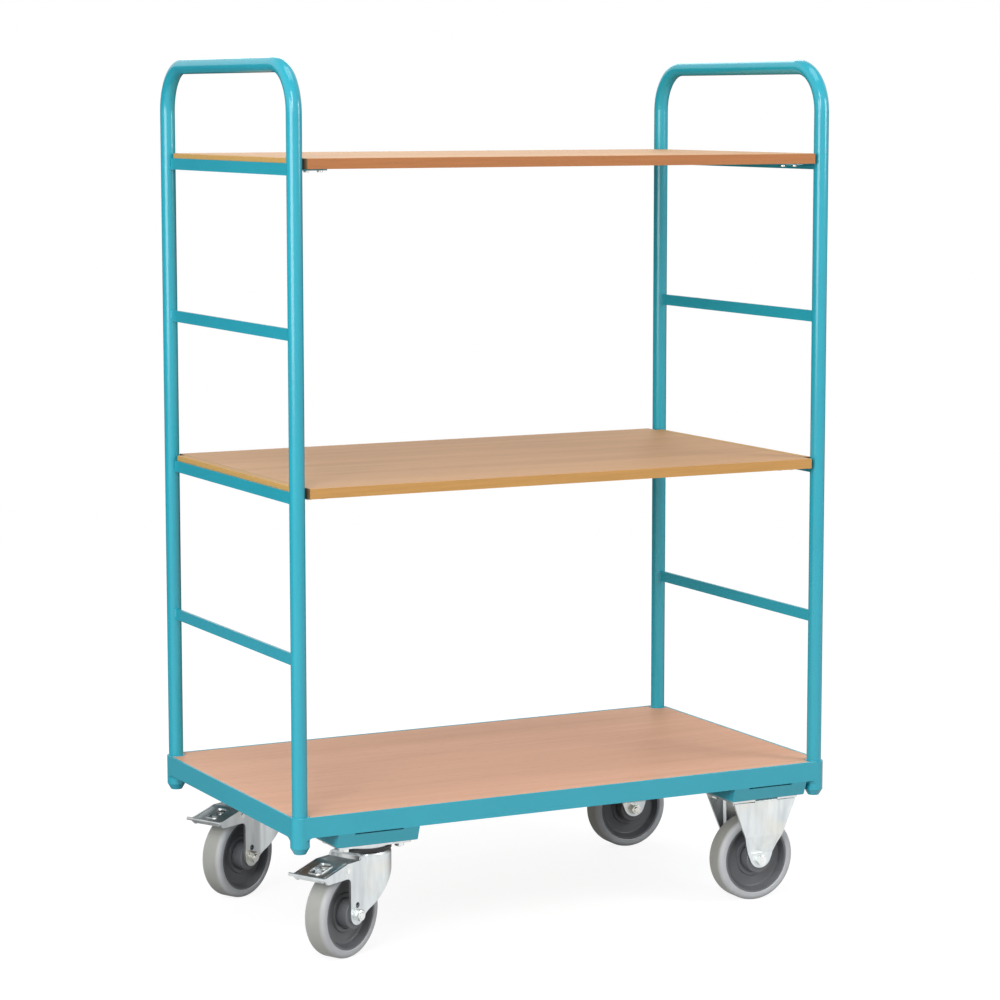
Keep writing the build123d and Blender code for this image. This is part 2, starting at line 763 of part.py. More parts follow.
def wheel_rim(section):
    """A moulded rim turned round the axle: hub with bearing seats, web with a step ring, and rim."""
    seat_radius = bearing_diameter / 2 + running_clearance
    seat_end = hub_half - bearing_width
    bore_radius = rim_bore_diameter / 2
    hub_radius = hub_diameter / 2
    web_half = web_thickness / 2
    ring_inner = hub_radius + step_ring_gap
    ring_outer = ring_inner + step_ring_width
    rim_radius = wheel_radius - tyre_thickness - running_clearance
    half = [
        (0, bore_radius),
        (seat_end, bore_radius),
        (seat_end, seat_radius),
        (hub_half, seat_radius),
        (hub_half, hub_radius - hub_chamfer),
        (hub_half - hub_chamfer, hub_radius),
        (web_half, hub_radius),
        (web_half, ring_inner),
        (web_half + step_ring_rise, ring_inner),
        (web_half + step_ring_rise, ring_outer - step_ring_rise / 2),
        (web_half, ring_outer),
        (web_half, rim_radius - rim_well_depth),
        (rim_width / 2, rim_radius - rim_lip),
        (rim_width / 2, rim_radius),
        (0, rim_radius),
    ]
    with BuildPart() as rim:
        with BuildSketch(section) as profile:
            Polygon(*half, *[(-along, radius) for along, radius in reversed(half[1:-1])])
            fillet(profile.vertices().group_by(Axis.Y)[-3], rim_fillet)
        revolve(axis=Axis(section.origin, section.x_dir))
    return rim


def wheel_tyre(section):
    """A grey solid tyre with round shoulders, moulded on the rim."""
    with BuildPart() as tyre:
        with BuildSketch(section) as profile:
            with Locations((0, wheel_radius - tyre_thickness / 2)):
                Rectangle(tyre_width, tyre_thickness)
            fillet(profile.vertices().group_by(Axis.Y)[-1], min(tyre_shoulder, tyre_thickness * 0.7))
            chamfer(profile.vertices().group_by(Axis.Y)[0], tyre_bead)
        revolve(axis=Axis(section.origin, section.x_dir))
    return tyre


def wheel_bearings(section):
    """The two ball bearings in a hub, each a ring with a groove between its races."""
    middle_radius = (axle_diameter + bearing_diameter) / 4
    ring_middle = middle_radius + running_clearance / 2
    ring_height = (bearing_diameter - axle_diameter) / 2 - running_clearance
    with BuildPart() as bearings:
        with BuildSketch(section):
            for end in (-1, 1):
                with Locations((end * (hub_half - bearing_width / 2), ring_middle)):
                    Rectangle(bearing_width, ring_height)
                with Locations((end * hub_half, middle_radius)):
                    Rectangle(2 * bearing_groove_depth, ring_height / 3, mode=Mode.SUBTRACT)
        revolve(axis=Axis(section.origin, section.x_dir))
    return bearings


def axle_bolts(floors, along):
    """Axle bolts of the given casters, with their heads against the legs on the normal's side."""
    length = 2 * leg_outer + axle_nut_height + axle_thread_end
    with BuildPart() as bolts:
        with Locations([side_plane(floor, along, wheel_radius).offset(leg_outer) for floor in floors]):
            add(hexagon_bolt(axle_diameter, length, axle_head_flats, axle_head_height))
    return bolts


def axle_nuts(floors, along):
    """Axle nuts of the given casters, against the other legs."""
    with BuildPart() as nuts:
        with Locations([side_plane(floor, along, wheel_radius).offset(-leg_outer) for floor in floors]):
            add(hexagon_nut(axle_diameter, axle_head_flats, axle_nut_height))
    return nuts


# Base frame
for end, x in (("left", -post_x), ("right", post_x)):
    for side, y in (("front", -post_y), ("rear", post_y)):
        save(corner_socket(x, y), f"{side}_{end}_socket")
save(long_rail(-1), "front_rail")
save(long_rail(1), "rear_rail")
save(end_rail(-1), "left_end_rail")
save(end_rail(1), "right_end_rail")
save(caster_channel(swivel_x), "left_caster_channel")
save(caster_channel(fixed_x), "right_caster_channel")

with BuildPart() as base_deck:
    with BuildSketch(Plane.XY.offset(deck_bottom)):
        Rectangle(2 * (base_x - rail_wall - deck_gap), 2 * (base_y - rail_wall - deck_gap))
        with Locations(posts):
            Circle(socket_diameter / 2 + deck_socket_gap, mode=Mode.SUBTRACT)
    extrude(amount=deck_thickness)
    with Locations([(x, y, deck_bottom) for x, y in deck_screw_places]):
        Cylinder(
            screw_diameter / 2 + screw_clearance,
            screw_length,
            align=(Align.CENTER, Align.CENTER, Align.MIN),
            mode=Mode.SUBTRACT,
        )
save(base_deck, "base_deck")

with BuildPart() as deck_screws:
    with Locations([(x, y, deck_bottom - ledge_thickness) for x, y in deck_screw_places]):
        add(wood_screw())
save(deck_screws, "deck_screws")

with BuildPart() as socket_set_screws:
    for x, y in posts:
        pocket = set_screw_plane(x, y).offset(tube_diameter / 2 + weld_gap)
        with Locations(pocket):
            Cylinder(set_screw_diameter / 2, set_screw_length, align=(Align.CENTER, Align.CENTER, Align.MIN))
        with BuildSketch(pocket.offset(set_screw_length)):
            RegularPolygon(screw_key_diameter / 2, 6)
        extrude(amount=-set_screw_length / 2, mode=Mode.SUBTRACT)
save(socket_set_screws, "socket_set_screws")

# Handles, bars and shelves
for end, x in (("left", -post_x), ("right", post_x)):
    save(handle_tube(x), f"{end}_handle_tube")
    save(crossbar(x, lower_bar), f"{end}_lower_crossbar")
    save(crossbar(x, upper_bar), f"{end}_upper_crossbar")
    save(shelf_bar(x, middle_bar), f"{end}_middle_shelf_bar")
    save(shelf_bar(x, top_bar), f"{end}_top_shelf_bar")
save(shelf_board(middle_bar), "middle_shelf")
save(shelf_board(top_bar), "top_shelf")

with BuildPart() as shelf_screws:
    for bar in (middle_bar, top_bar):
        lug_bottom = bar + shelf_rise - lug_thickness
        with Locations([(*place, lug_bottom) for x in (-post_x, post_x) for place in lug_screw_places(x)]):
            add(wood_screw())
save(shelf_screws, "shelf_screws")

# Casters
bolt_length = channel_sheet + plate_thickness + bolt_nut_height + bolt_thread_end
with BuildPart() as caster_bolts:
    with Locations([(x, y, caster_height + channel_sheet) for x, y in caster_centres]):
        with GridLocations(bolt_spacing_x, bolt_spacing_y, 2, 2):
            add(hexagon_bolt(bolt_diameter, bolt_length, bolt_flats, bolt_head_height))
save(caster_bolts, "caster_bolts")

nut_seats = {swivel_x: plate_bottom, fixed_x: caster_height - fork_sheet}
with BuildPart() as caster_nuts:
    with Locations([(x, y, nut_seats[x]) for x, y in caster_centres]):
        with GridLocations(bolt_spacing_x, bolt_spacing_y, 2, 2):
            add(hexagon_nut(bolt_diameter, bolt_flats, bolt_nut_height))
save(caster_nuts, "caster_nuts")

swivel_floors = {
    "front": floor_plane(swivel_x, -caster_y, caster_heading),
    "rear": floor_plane(swivel_x, caster_y, caster_heading),
}
fixed_floors = {
    "front": floor_plane(fixed_x, -caster_y, 0.0),
    "rear": floor_plane(fixed_x, caster_y, 180.0),
}

head_seat = crown_bottom - kingpin_head_clearance
with BuildPart() as kingpins:
    with Locations([floor.offset(head_seat) for floor in swivel_floors.values()]):
        Cylinder(
            kingpin_head_diameter / 2, kingpin_head_height, align=(Align.CENTER, Align.CENTER, Align.MAX)
        )
        Cylinder(
            kingpin_diameter / 2,
            caster_height - crown_bottom,
            align=(Align.CENTER, Align.CENTER, Align.MIN),
        )
save(kingpins, "kingpins")

with BuildPart() as swivel_balls:
    with Locations([floor.offset(crown_top + race_height / 2) for floor in swivel_floors.values()]):
        with PolarLocations(ball_circle_diameter / 2, ball_count):
            Sphere(race_height / 2 - ball_clearance)
save(swivel_balls, "swivel_balls")

for side, floor in swivel_floors.items():
    y = floor.origin.Y
    section = wheel_section(floor, caster_offset)
    save(swivel_plate(swivel_x, y), f"{side}_swivel_plate")
    save(swivel_fork(floor), f"{side}_swivel_fork")
    save(seal_ring(floor), f"{side}_seal_ring")
    save(brake_pedal(floor), f"{side}_brake_pedal")
    save(pedal_pin(floor), f"{side}_pedal_pin")
    save(axle_bolts([floor], caster_offset), f"{side}_swivel_axle_bolt")
    save(axle_nuts([floor], caster_offset), f"{side}_swivel_axle_nut")
    save(wheel_rim(section), f"{side}_swivel_rim")
    save(wheel_tyre(section), f"{side}_swivel_tyre")
    save(wheel_bearings(section), f"{side}_swivel_bearings")

for side, floor in fixed_floors.items():
    section = wheel_section(floor, 0.0)
    save(fixed_fork(floor), f"{side}_fixed_fork")
    save(wheel_rim(section), f"{side}_fixed_rim")
    save(wheel_tyre(section), f"{side}_fixed_tyre")
    save(wheel_bearings(section), f"{side}_fixed_bearings")
save(axle_bolts(fixed_floors.values(), 0.0), "fixed_axle_bolts")
save(axle_nuts(fixed_floors.values(), 0.0), "fixed_axle_nuts")
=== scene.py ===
import json
from math import cos, pi, radians, sin

import bmesh
import bpy
import numpy as np
from mathutils import Matrix, Vector


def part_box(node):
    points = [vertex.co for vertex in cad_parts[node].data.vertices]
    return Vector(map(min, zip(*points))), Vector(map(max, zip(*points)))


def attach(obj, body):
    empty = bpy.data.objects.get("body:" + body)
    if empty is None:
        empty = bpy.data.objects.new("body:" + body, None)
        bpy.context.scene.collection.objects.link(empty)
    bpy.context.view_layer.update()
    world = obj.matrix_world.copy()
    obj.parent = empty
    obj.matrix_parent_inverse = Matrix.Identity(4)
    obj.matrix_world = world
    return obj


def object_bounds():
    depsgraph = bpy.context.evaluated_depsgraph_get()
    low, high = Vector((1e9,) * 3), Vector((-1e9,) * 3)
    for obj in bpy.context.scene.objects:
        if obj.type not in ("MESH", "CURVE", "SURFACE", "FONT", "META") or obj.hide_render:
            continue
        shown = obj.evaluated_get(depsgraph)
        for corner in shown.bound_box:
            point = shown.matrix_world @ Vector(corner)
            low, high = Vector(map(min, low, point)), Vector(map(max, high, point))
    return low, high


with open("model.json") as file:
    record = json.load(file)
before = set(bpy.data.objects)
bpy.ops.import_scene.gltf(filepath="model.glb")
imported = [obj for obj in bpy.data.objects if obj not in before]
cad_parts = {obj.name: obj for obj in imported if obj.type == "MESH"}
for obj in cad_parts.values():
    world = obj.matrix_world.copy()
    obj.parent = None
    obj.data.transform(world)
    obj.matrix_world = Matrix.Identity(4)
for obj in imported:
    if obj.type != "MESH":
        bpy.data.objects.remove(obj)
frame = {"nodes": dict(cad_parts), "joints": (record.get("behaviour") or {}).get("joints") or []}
cad_low, cad_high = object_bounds()

# Base frame: four rails, four corner sockets with drawn-in feet and two folded caster channels.
# They are mild steel, welded together and powder coated as one piece, so the paint runs over every
# joint.
BASE_NODES = [
    "front_rail", "rear_rail", "left_end_rail", "right_end_rail",
    "front_left_socket", "front_right_socket", "rear_left_socket", "rear_right_socket",
    "left_caster_channel", "right_caster_channel",
]

# Lengths are in metres, and in millimetres where the name ends in MM.
PAINT_TEAL = "#2AA5B8"
PAINT_TEAL_DEEP = "#249BAF"
PAINT_ROUGHNESS = 0.17
PAINT_IOR = 1.5
PAINT_CLOUD_MM = 143.0
ORANGE_PEEL_MM = 9.0
ORANGE_PEEL_HEIGHT = 0.0006
ORANGE_PEEL_STRENGTH = 0.10
MM_PER_M = 1000.0

# Sockets of a colour Mix node: the share, the colour at share 0, the colour at share 1, the result.
SHARE, FROM, TO, MIXED = 0, 6, 7, 2


def linear(hex_colour):
    """sRGB hex to linear RGBA: c / 12.92 up to 0.04045, ((c + 0.055) / 1.055) ** 2.4 above."""
    srgb = np.array([int(hex_colour[i:i + 2], 16) for i in (1, 3, 5)]) / 255.0
    rgb = np.where(srgb <= 0.04045, srgb / 12.92, ((srgb + 0.055) / 1.055) ** 2.4)
    return (*rgb.tolist(), 1.0)


def add_node(tree, kind, inputs=None, **settings):
    """Add one shader node: settings are its properties, inputs are values or nodes' sockets."""
    made = tree.nodes.new("ShaderNode" + kind)
    for name, value in settings.items():
        setattr(made, name, value)
    for name, value in (inputs or {}).items():
        if isinstance(value, bpy.types.NodeSocket):
            tree.links.new(value, made.inputs[name])
        else:
            made.inputs[name].default_value = value
    return made


def new_material(name):
    """A material with its node tree, its surface shader and the object's own place in metres."""
    material = bpy.data.materials.new(name)
    material.use_nodes = True
    tree = material.node_tree
    place = add_node(tree, "TexCoord").outputs["Object"]
    return material, tree, tree.nodes["Principled BSDF"], place


def powder_coat():
    """Polyester powder coat: a glossy baked skin with the slow waves that are called orange peel.
    The real waves are 2 to 3 mm long, too fine to show, so they are drawn about three times as
    long."""
    material, tree, surface, place = new_material("teal_powder_coat")
    cloud = add_node(
        tree, "TexNoise", {"Vector": place, "Scale": MM_PER_M / PAINT_CLOUD_MM, "Detail": 2.0}
    )
    tone = add_node(
        tree, "Mix",
        {SHARE: cloud.outputs[0], FROM: linear(PAINT_TEAL_DEEP), TO: linear(PAINT_TEAL)},
        data_type="RGBA",
    )
    peel = add_node(
        tree, "TexNoise", {"Vector": place, "Scale": MM_PER_M / ORANGE_PEEL_MM, "Detail": 1.0}
    )
    waves = add_node(
        tree, "Bump",
        {"Height": peel.outputs[0], "Strength": ORANGE_PEEL_STRENGTH,
         "Distance": ORANGE_PEEL_HEIGHT},
    )
    tree.links.new(tone.outputs[MIXED], surface.inputs["Base Color"])
    tree.links.new(waves.outputs[0], surface.inputs["Normal"])
    surface.inputs["Roughness"].default_value = PAINT_ROUGHNESS
    surface.inputs["IOR"].default_value = PAINT_IOR
    return material


def dress(material, *names):
    """Give CAD nodes a finish in place of their plain one."""
    for name in names:
        for slot in frame["nodes"][name].material_slots:
            slot.material = material


teal_paint = powder_coat()
dress(teal_paint, *BASE_NODES)

# Base deck: an 18 mm board with a beech decor face, let into the frame and screwed on from below.
# The printed grain runs along the trolley, in fine streaks with the short dark flecks of beech.
BEECH_LIGHT = "#E0B092"
BEECH_DARK = "#CD9A7A"
BEECH_FLECK = "#B57C53"
STREAK_MM = 5.0
STREAK_STRETCH = (0.035, 1.0, 1.0)
BAND_MM = 45.45
GRAIN_DARKEST, GRAIN_LIGHTEST = 0.62, 1.38
FLECK_MM = 2.2
FLECK_SPACING = 3.2
FLECK_STRETCH = (0.16, 1.0, 1.0)
FLECK_CORE, FLECK_RIM = 0.10, 0.22
FLECK_SHARE = 0.34
GRAIN_HEIGHT = 0.0003
GRAIN_STRENGTH = 0.05
DECK_SMOOTH, DECK_ROUGH = 0.46, 0.58
DECK_SPECULAR = 0.16


def beech_face(tree, place, light, dark, fleck):
    """Colour of a beech decor: streaks, slow bands and flecks, all drawn out along the board.
    Real flecks are 0.5 mm wide, too fine to show, so they are drawn about four times as wide."""
    drawn_out = add_node(tree, "Mapping", {"Vector": place, "Scale": STREAK_STRETCH})
    streak = add_node(
        tree, "TexNoise",
        {"Vector": drawn_out.outputs[0], "Scale": MM_PER_M / STREAK_MM,
         "Detail": 5.0, "Roughness": 0.62},
    )
    bands = add_node(
        tree, "TexNoise",
        {"Vector": drawn_out.outputs[0], "Scale": MM_PER_M / BAND_MM,
         "Detail": 3.0, "Distortion": 0.6},
    )
    both = add_node(tree, "Math", {0: streak.outputs[0], 1: bands.outputs[0]}, operation="ADD")
    share = add_node(
        tree, "MapRange",
        {"Value": both.outputs[0], "From Min": GRAIN_DARKEST, "From Max": GRAIN_LIGHTEST},
    )
    wood = add_node(
        tree, "Mix", {SHARE: share.outputs[0], FROM: linear(dark), TO: linear(light)},
        data_type="RGBA",
    )
    dashes = add_node(tree, "Mapping", {"Vector": place, "Scale": FLECK_STRETCH})
    cells = add_node(
        tree, "TexVoronoi",
        {"Vector": dashes.outputs[0], "Scale": MM_PER_M / (FLECK_SPACING * FLECK_MM)},
    )
    marks = add_node(
        tree, "MapRange",
        {"Value": cells.outputs["Distance"], "From Min": FLECK_CORE, "From Max": FLECK_RIM,
         "To Min": FLECK_SHARE, "To Max": 0.0},
    )
    flecked = add_node(
        tree, "Mix", {SHARE: marks.outputs[0], FROM: wood.outputs[MIXED], TO: linear(fleck)},
        data_type="RGBA",
    )
    return flecked.outputs[MIXED], streak.outputs[0]


def beech_deck():
    """Melamine faced board: a printed paper under hard resin, so satin and uneven in gloss."""
    material, tree, surface, place = new_material("beech_decor_deck")
    colour, streak = beech_face(tree, place, BEECH_LIGHT, BEECH_DARK, BEECH_FLECK)
    gloss = add_node(
        tree, "MapRange", {"Value": streak, "To Min": DECK_SMOOTH, "To Max": DECK_ROUGH}
    )
    grain = add_node(
        tree, "Bump", {"Height": streak, "Strength": GRAIN_STRENGTH, "Distance": GRAIN_HEIGHT}
    )
    tree.links.new(colour, surface.inputs["Base Color"])
    tree.links.new(gloss.outputs[0], surface.inputs["Roughness"])
    tree.links.new(grain.outputs[0], surface.inputs["Normal"])
    surface.inputs["Specular IOR Level"].default_value = DECK_SPECULAR
    return material


dress(beech_deck(), "base_deck")

# Handles: two steel tubes, each bent into a U, pushed into the corner sockets and powder coated
# with the base.
dress(teal_paint, "left_handle_tube", "right_handle_tube")

# Crossbars and shelf bars: flat steel on edge between the legs of each handle, welded with a short
# bead on both faces. The shelf bars are notched beside the tubes and carry two welded screw lugs.
ENDS = ("left", "right")
BARS = [f"{end}_{bar}" for end in ENDS for bar in ("lower_crossbar", "upper_crossbar")]
SHELF_BARS = [f"{end}_{bar}" for end in ENDS for bar in ("middle_shelf_bar", "top_shelf_bar")]
BAR_HALF_THICKNESS = 0.0025
BEAD_RADIUS = 0.0024
BEAD_PITCH = 0.0034
BEAD_RIPPLE = 0.10
BEAD_TIP = 0.4
BEAD_STEPS = 25
BEAD_SIDES = 12
BEAD_END_GAP = 0.0003
NOTCHED_STRIP = 0.0051
MERGE_DISTANCE = 1e-7
dress(teal_paint, *BARS, *SHELF_BARS)


def surface_mesh(name, points, wrap=False):
    """Mesh of one or more grids of points, shape (grids, rows, columns, 3): cell (i, j) joins rows
    i and i + 1 to columns j and j + 1, and with wrap the last column to the first. Poles are
    merged."""
    grids, rows, columns, _ = points.shape
    index = np.arange(grids * rows * columns).reshape(grids, rows, columns)
    if wrap:
        index = np.concatenate([index, index[:, :, :1]], axis=2)
    corners = (index[:, :-1, :-1], index[:, 1:, :-1], index[:, 1:, 1:], index[:, :-1, 1:])
    quads = np.stack(corners, axis=-1).reshape(-1, 4)
    mesh = bpy.data.meshes.new(name)
    mesh.from_pydata(points.reshape(-1, 3).tolist(), [], quads.tolist())
    shell = bmesh.new()
    shell.from_mesh(mesh)
    bmesh.ops.remove_doubles(shell, verts=shell.verts, dist=MERGE_DISTANCE)
    bmesh.ops.recalc_face_normals(shell, faces=shell.faces)
    shell.to_mesh(mesh)
    shell.free()
    mesh.shade_smooth()
    piece = bpy.data.objects.new(name, mesh)
    bpy.context.scene.collection.objects.link(piece)
    return piece


def weld_beads(starts, ends):
    """Beads along straight seams of length L: a circle of radius
    r(s) = BEAD_RADIUS sin(pi s)^BEAD_TIP (1 + BEAD_RIPPLE cos(2 pi s L / BEAD_PITCH)) carried from
    each start to its end, so the ripples of the weld pool show and both tips close."""
    starts, ends = np.array(starts), np.array(ends)
    along = ends - starts
    length = np.linalg.norm(along, axis=1, keepdims=True)
    along = along / length
    across = np.cross(along, np.array([1.0, 0.0, 0.0]))
    across = across / np.linalg.norm(across, axis=1, keepdims=True)
    up = np.cross(along, across)
    s = np.linspace(0.0, 1.0, BEAD_STEPS)
    turn = np.linspace(0.0, 2 * pi, BEAD_SIDES + 1)[:-1]
    ripple = 1 + BEAD_RIPPLE * np.cos(2 * pi * s * length / BEAD_PITCH)
    swell = np.clip(np.sin(pi * s), 0.0, 1.0) ** BEAD_TIP * ripple
    line = starts[:, None, :] + s[None, :, None] * (along * length)[:, None, :]
    round_x = across[:, None, :] * np.cos(turn)[None, :, None]
    round_y = up[:, None, :] * np.sin(turn)[None, :, None]
    ring = round_x + round_y
    return line[:, :, None, :] + BEAD_RADIUS * swell[:, :, None, None] * ring[:, None, :, :]


def bar_seams(bars, height=None):
    """Upright seam lines where the bars' two faces meet the tubes, over the height that touches."""
    starts, ends = [], []
    for bar in bars:
        tube_low, tube_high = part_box(bar.split("_")[0] + "_handle_tube")
        middle_x = (tube_low.x + tube_high.x) / 2
        tube_radius = (tube_high.x - tube_low.x) / 2
        low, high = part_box(bar)
        top = high.z if height is None else low.z + height
        for face in (-BAR_HALF_THICKNESS, BAR_HALF_THICKNESS):
            inset = tube_radius + (tube_radius**2 - face**2) ** 0.5
            for y in (tube_low.y + inset, tube_high.y - inset):
                starts.append((middle_x + face, y, low.z + BEAD_END_GAP))
                ends.append((middle_x + face, y, top - BEAD_END_GAP))
    return starts, ends


bar_beads = weld_beads(*bar_seams(BARS))
bar_welds = surface_mesh("bar_welds", bar_beads, wrap=True)
shelf_bar_beads = weld_beads(*bar_seams(SHELF_BARS, NOTCHED_STRIP))
shelf_bar_welds = surface_mesh("shelf_bar_welds", shelf_bar_beads, wrap=True)
for piece in (bar_welds, shelf_bar_welds):
    piece.data.materials.append(teal_paint)
    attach(piece, "trolley_frame")

# Shelves: two 18 mm beech decor boards on the lugs, cut out at the corners round the tubes. Their
# ends have a glued wood lipping that shows on top as a strip behind a thin joint, and the edges
# are banded.
SHELF_LIGHT = "#D2A677"
SHELF_DARK = "#BF9164"
SHELF_FLECK = "#A8784D"
MIDDLE_BAND = "#C29358"
TOP_BAND = "#B0754B"
LIPPING = "#C79C5C"
LIPPING_JOINT = "#8B7156"
# Bare chipboard of the corner cut-outs, drawn dark: partly its own colour, partly painted shade of
# the gap beside the tubes.
RAW_BOARD_AND_SHADE = "#7D6147"
LIPPING_WIDTH = 0.017
JOINT_HALF_WIDTH = 0.0007
CUT_OUT_LENGTH = 0.0165
CUT_OUT_DEPTH = 0.0305
EDGE_DARKEST, EDGE_LIGHTEST = 0.80, 1.16
LEVEL_NORMAL = 0.7
SHELF_SMOOTH, SHELF_ROUGH = 0.48, 0.60
SHELF_SPECULAR = 0.13


def beech_shelf(name, band, board):
    """Melamine faced board: decor where the normal points up or down, a band on the long edges, a
    wood lipping at the ends and bare chipboard in the corner cut-outs, drawn darker than bare
    chipboard as painted shade of the narrow gap beside the tubes. The real joint is 0.2 mm wide,
    too fine to show, so it is drawn about seven times as wide."""
    material, tree, surface, place = new_material(name)
    low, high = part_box(board)
    middle = tuple((low + high) / 2)
    half_length, half_depth = (high.x - low.x) / 2, (high.y - low.y) / 2
    colour, streak = beech_face(tree, place, SHELF_LIGHT, SHELF_DARK, SHELF_FLECK)
    centred = add_node(tree, "VectorMath", {0: place, 1: middle}, operation="SUBTRACT")
    offset = add_node(tree, "VectorMath", {0: centred.outputs[0]}, operation="ABSOLUTE")
    spot = add_node(tree, "SeparateXYZ", {"Vector": offset.outputs[0]})
    normal = add_node(tree, "NewGeometry").outputs["True Normal"]
    unsigned = add_node(tree, "VectorMath", {0: normal}, operation="ABSOLUTE")
    facing = add_node(tree, "SeparateXYZ", {"Vector": unsigned.outputs[0]})

    seam = half_length - LIPPING_WIDTH
    on_lipping = add_node(
        tree, "Math", {0: spot.outputs["X"], 1: seam}, operation="GREATER_THAN"
    )
    on_joint = add_node(
        tree, "Math", {0: spot.outputs["X"], 1: seam, 2: JOINT_HALF_WIDTH}, operation="COMPARE"
    )
    shade = add_node(
        tree, "MapRange", {"Value": streak, "To Min": EDGE_DARKEST, "To Max": EDGE_LIGHTEST}
    )
    edge = add_node(
        tree, "Mix", {SHARE: facing.outputs["X"], FROM: linear(band), TO: linear(LIPPING)},
        data_type="RGBA",
    )
    edge = add_node(
        tree, "Mix", {SHARE: 1.0, FROM: edge.outputs[MIXED], TO: shade.outputs[0]},
        data_type="RGBA", blend_type="MULTIPLY",
    )
    strip = add_node(
        tree, "Mix", {SHARE: 1.0, FROM: linear(LIPPING), TO: shade.outputs[0]},
        data_type="RGBA", blend_type="MULTIPLY",
    )
    face = add_node(
        tree, "Mix", {SHARE: on_lipping.outputs[0], FROM: colour, TO: strip.outputs[MIXED]},
        data_type="RGBA",
    )
    face = add_node(
        tree, "Mix",
        {SHARE: on_joint.outputs[0], FROM: face.outputs[MIXED], TO: linear(LIPPING_JOINT)},
        data_type="RGBA",
    )

    past_end = add_node(
        tree, "Math", {0: spot.outputs["X"], 1: half_length - CUT_OUT_LENGTH},
        operation="GREATER_THAN",
    )
    past_side = add_node(
        tree, "Math", {0: spot.outputs["Y"], 1: half_depth - CUT_OUT_DEPTH},
        operation="GREATER_THAN",
    )
    bare = add_node(
        tree, "Math", {0: past_end.outputs[0], 1: past_side.outputs[0]}, operation="MULTIPLY"
    )
    # Cut-out faces take the bare chipboard colour, darkened as painted shade of the gap between
    # board and tube.
    edge = add_node(
        tree, "Mix", {SHARE: bare.outputs[0], FROM: edge.outputs[MIXED], TO: linear(RAW_BOARD_AND_SHADE)},
        data_type="RGBA",
    )
    level = add_node(
        tree, "Math", {0: facing.outputs["Z"], 1: LEVEL_NORMAL}, operation="GREATER_THAN"
    )
    whole = add_node(
        tree, "Mix",
        {SHARE: level.outputs[0], FROM: edge.outputs[MIXED], TO: face.outputs[MIXED]},
        data_type="RGBA",
    )
    gloss = add_node(
        tree, "MapRange", {"Value": streak, "To Min": SHELF_SMOOTH, "To Max": SHELF_ROUGH}
    )
    grain = add_node(
        tree, "Bump", {"Height": streak, "Strength": GRAIN_STRENGTH, "Distance": GRAIN_HEIGHT}
    )
    tree.links.new(whole.outputs[MIXED], surface.inputs["Base Color"])
    tree.links.new(gloss.outputs[0], surface.inputs["Roughness"])
    tree.links.new(grain.outputs[0], surface.inputs["Normal"])
    surface.inputs["Specular IOR Level"].default_value = SHELF_SPECULAR
    return material


dress(beech_shelf("beech_decor_middle_shelf", MIDDLE_BAND, "middle_shelf"), "middle_shelf")
dress(beech_shelf("beech_decor_top_shelf", TOP_BAND, "top_shelf"), "top_shelf")

# Caster forks, plates and pedals: deep-drawn steel sheet, bright zinc plated and passivated, so
# silvery with faint cloudy patches and a slight blue or straw tint.
ZINC_LIGHT = "#DBDFDF"
ZINC_DARK = "#C0C6C9"
ZINC_STRAW = "#DAD6C9"
SHEET_ROUGHNESS = 0.33
PATCH_MM = 16.0
PATCH_STRETCH = (1.0, 1.0, 0.22)
PATCH_DARKEST, PATCH_LIGHTEST = 0.3, 0.7
PATCH_SMOOTHER, PATCH_ROUGHER = 0.05, 0.06
PATCH_HEIGHT = 0.0008
PATCH_STRENGTH = 0.10
TINT_MM = 55.6
TINT_START, TINT_FULL = 0.5, 0.75
TINT_SHARE = 0.6
SHEET_NODES = [
    "front_swivel_plate", "rear_swivel_plate", "front_swivel_fork", "rear_swivel_fork",
    "front_fixed_fork", "rear_fixed_fork", "front_brake_pedal", "rear_brake_pedal",
]


def bright_metal(name, light, dark, straw, roughness):
    """Bright zinc on rolled steel, or bare ground steel: a metal whose gloss and tint drift in soft
    streaks, drawn out down the sides as the plating drained off them."""
    material, tree, surface, place = new_material(name)
    drained = add_node(tree, "Mapping", {"Vector": place, "Scale": PATCH_STRETCH})
    patch = add_node(
        tree, "TexNoise",
        {"Vector": drained.outputs[0], "Scale": MM_PER_M / PATCH_MM,
         "Detail": 3.0, "Roughness": 0.55},
    )
    tint = add_node(
        tree, "TexNoise", {"Vector": place, "Scale": MM_PER_M / TINT_MM, "Detail": 1.0}
    )
    share = add_node(
        tree, "MapRange",
        {"Value": patch.outputs[0], "From Min": PATCH_DARKEST, "From Max": PATCH_LIGHTEST},
    )
    grey = add_node(
        tree, "Mix", {SHARE: share.outputs[0], FROM: linear(dark), TO: linear(light)},
        data_type="RGBA",
    )
    warm = add_node(
        tree, "MapRange",
        {"Value": tint.outputs[0], "From Min": TINT_START, "From Max": TINT_FULL,
         "To Max": TINT_SHARE},
    )
    tinted = add_node(
        tree, "Mix", {SHARE: warm.outputs[0], FROM: grey.outputs[MIXED], TO: linear(straw)},
        data_type="RGBA",
    )
    gloss = add_node(
        tree, "MapRange",
        {"Value": share.outputs[0], "To Min": roughness - PATCH_SMOOTHER,
         "To Max": roughness + PATCH_ROUGHER},
    )
    dimple = add_node(
        tree, "Bump",
        {"Height": patch.outputs[0], "Strength": PATCH_STRENGTH, "Distance": PATCH_HEIGHT},
    )
    tree.links.new(tinted.outputs[MIXED], surface.inputs["Base Color"])
    tree.links.new(gloss.outputs[0], surface.inputs["Roughness"])
    tree.links.new(dimple.outputs[0], surface.inputs["Normal"])
    surface.inputs["Metallic"].default_value = 1.0
    return material


zinc_sheet = bright_metal("bright_zinc_sheet", ZINC_LIGHT, ZINC_DARK, ZINC_STRAW, SHEET_ROUGHNESS)
dress(zinc_sheet, *SHEET_NODES)

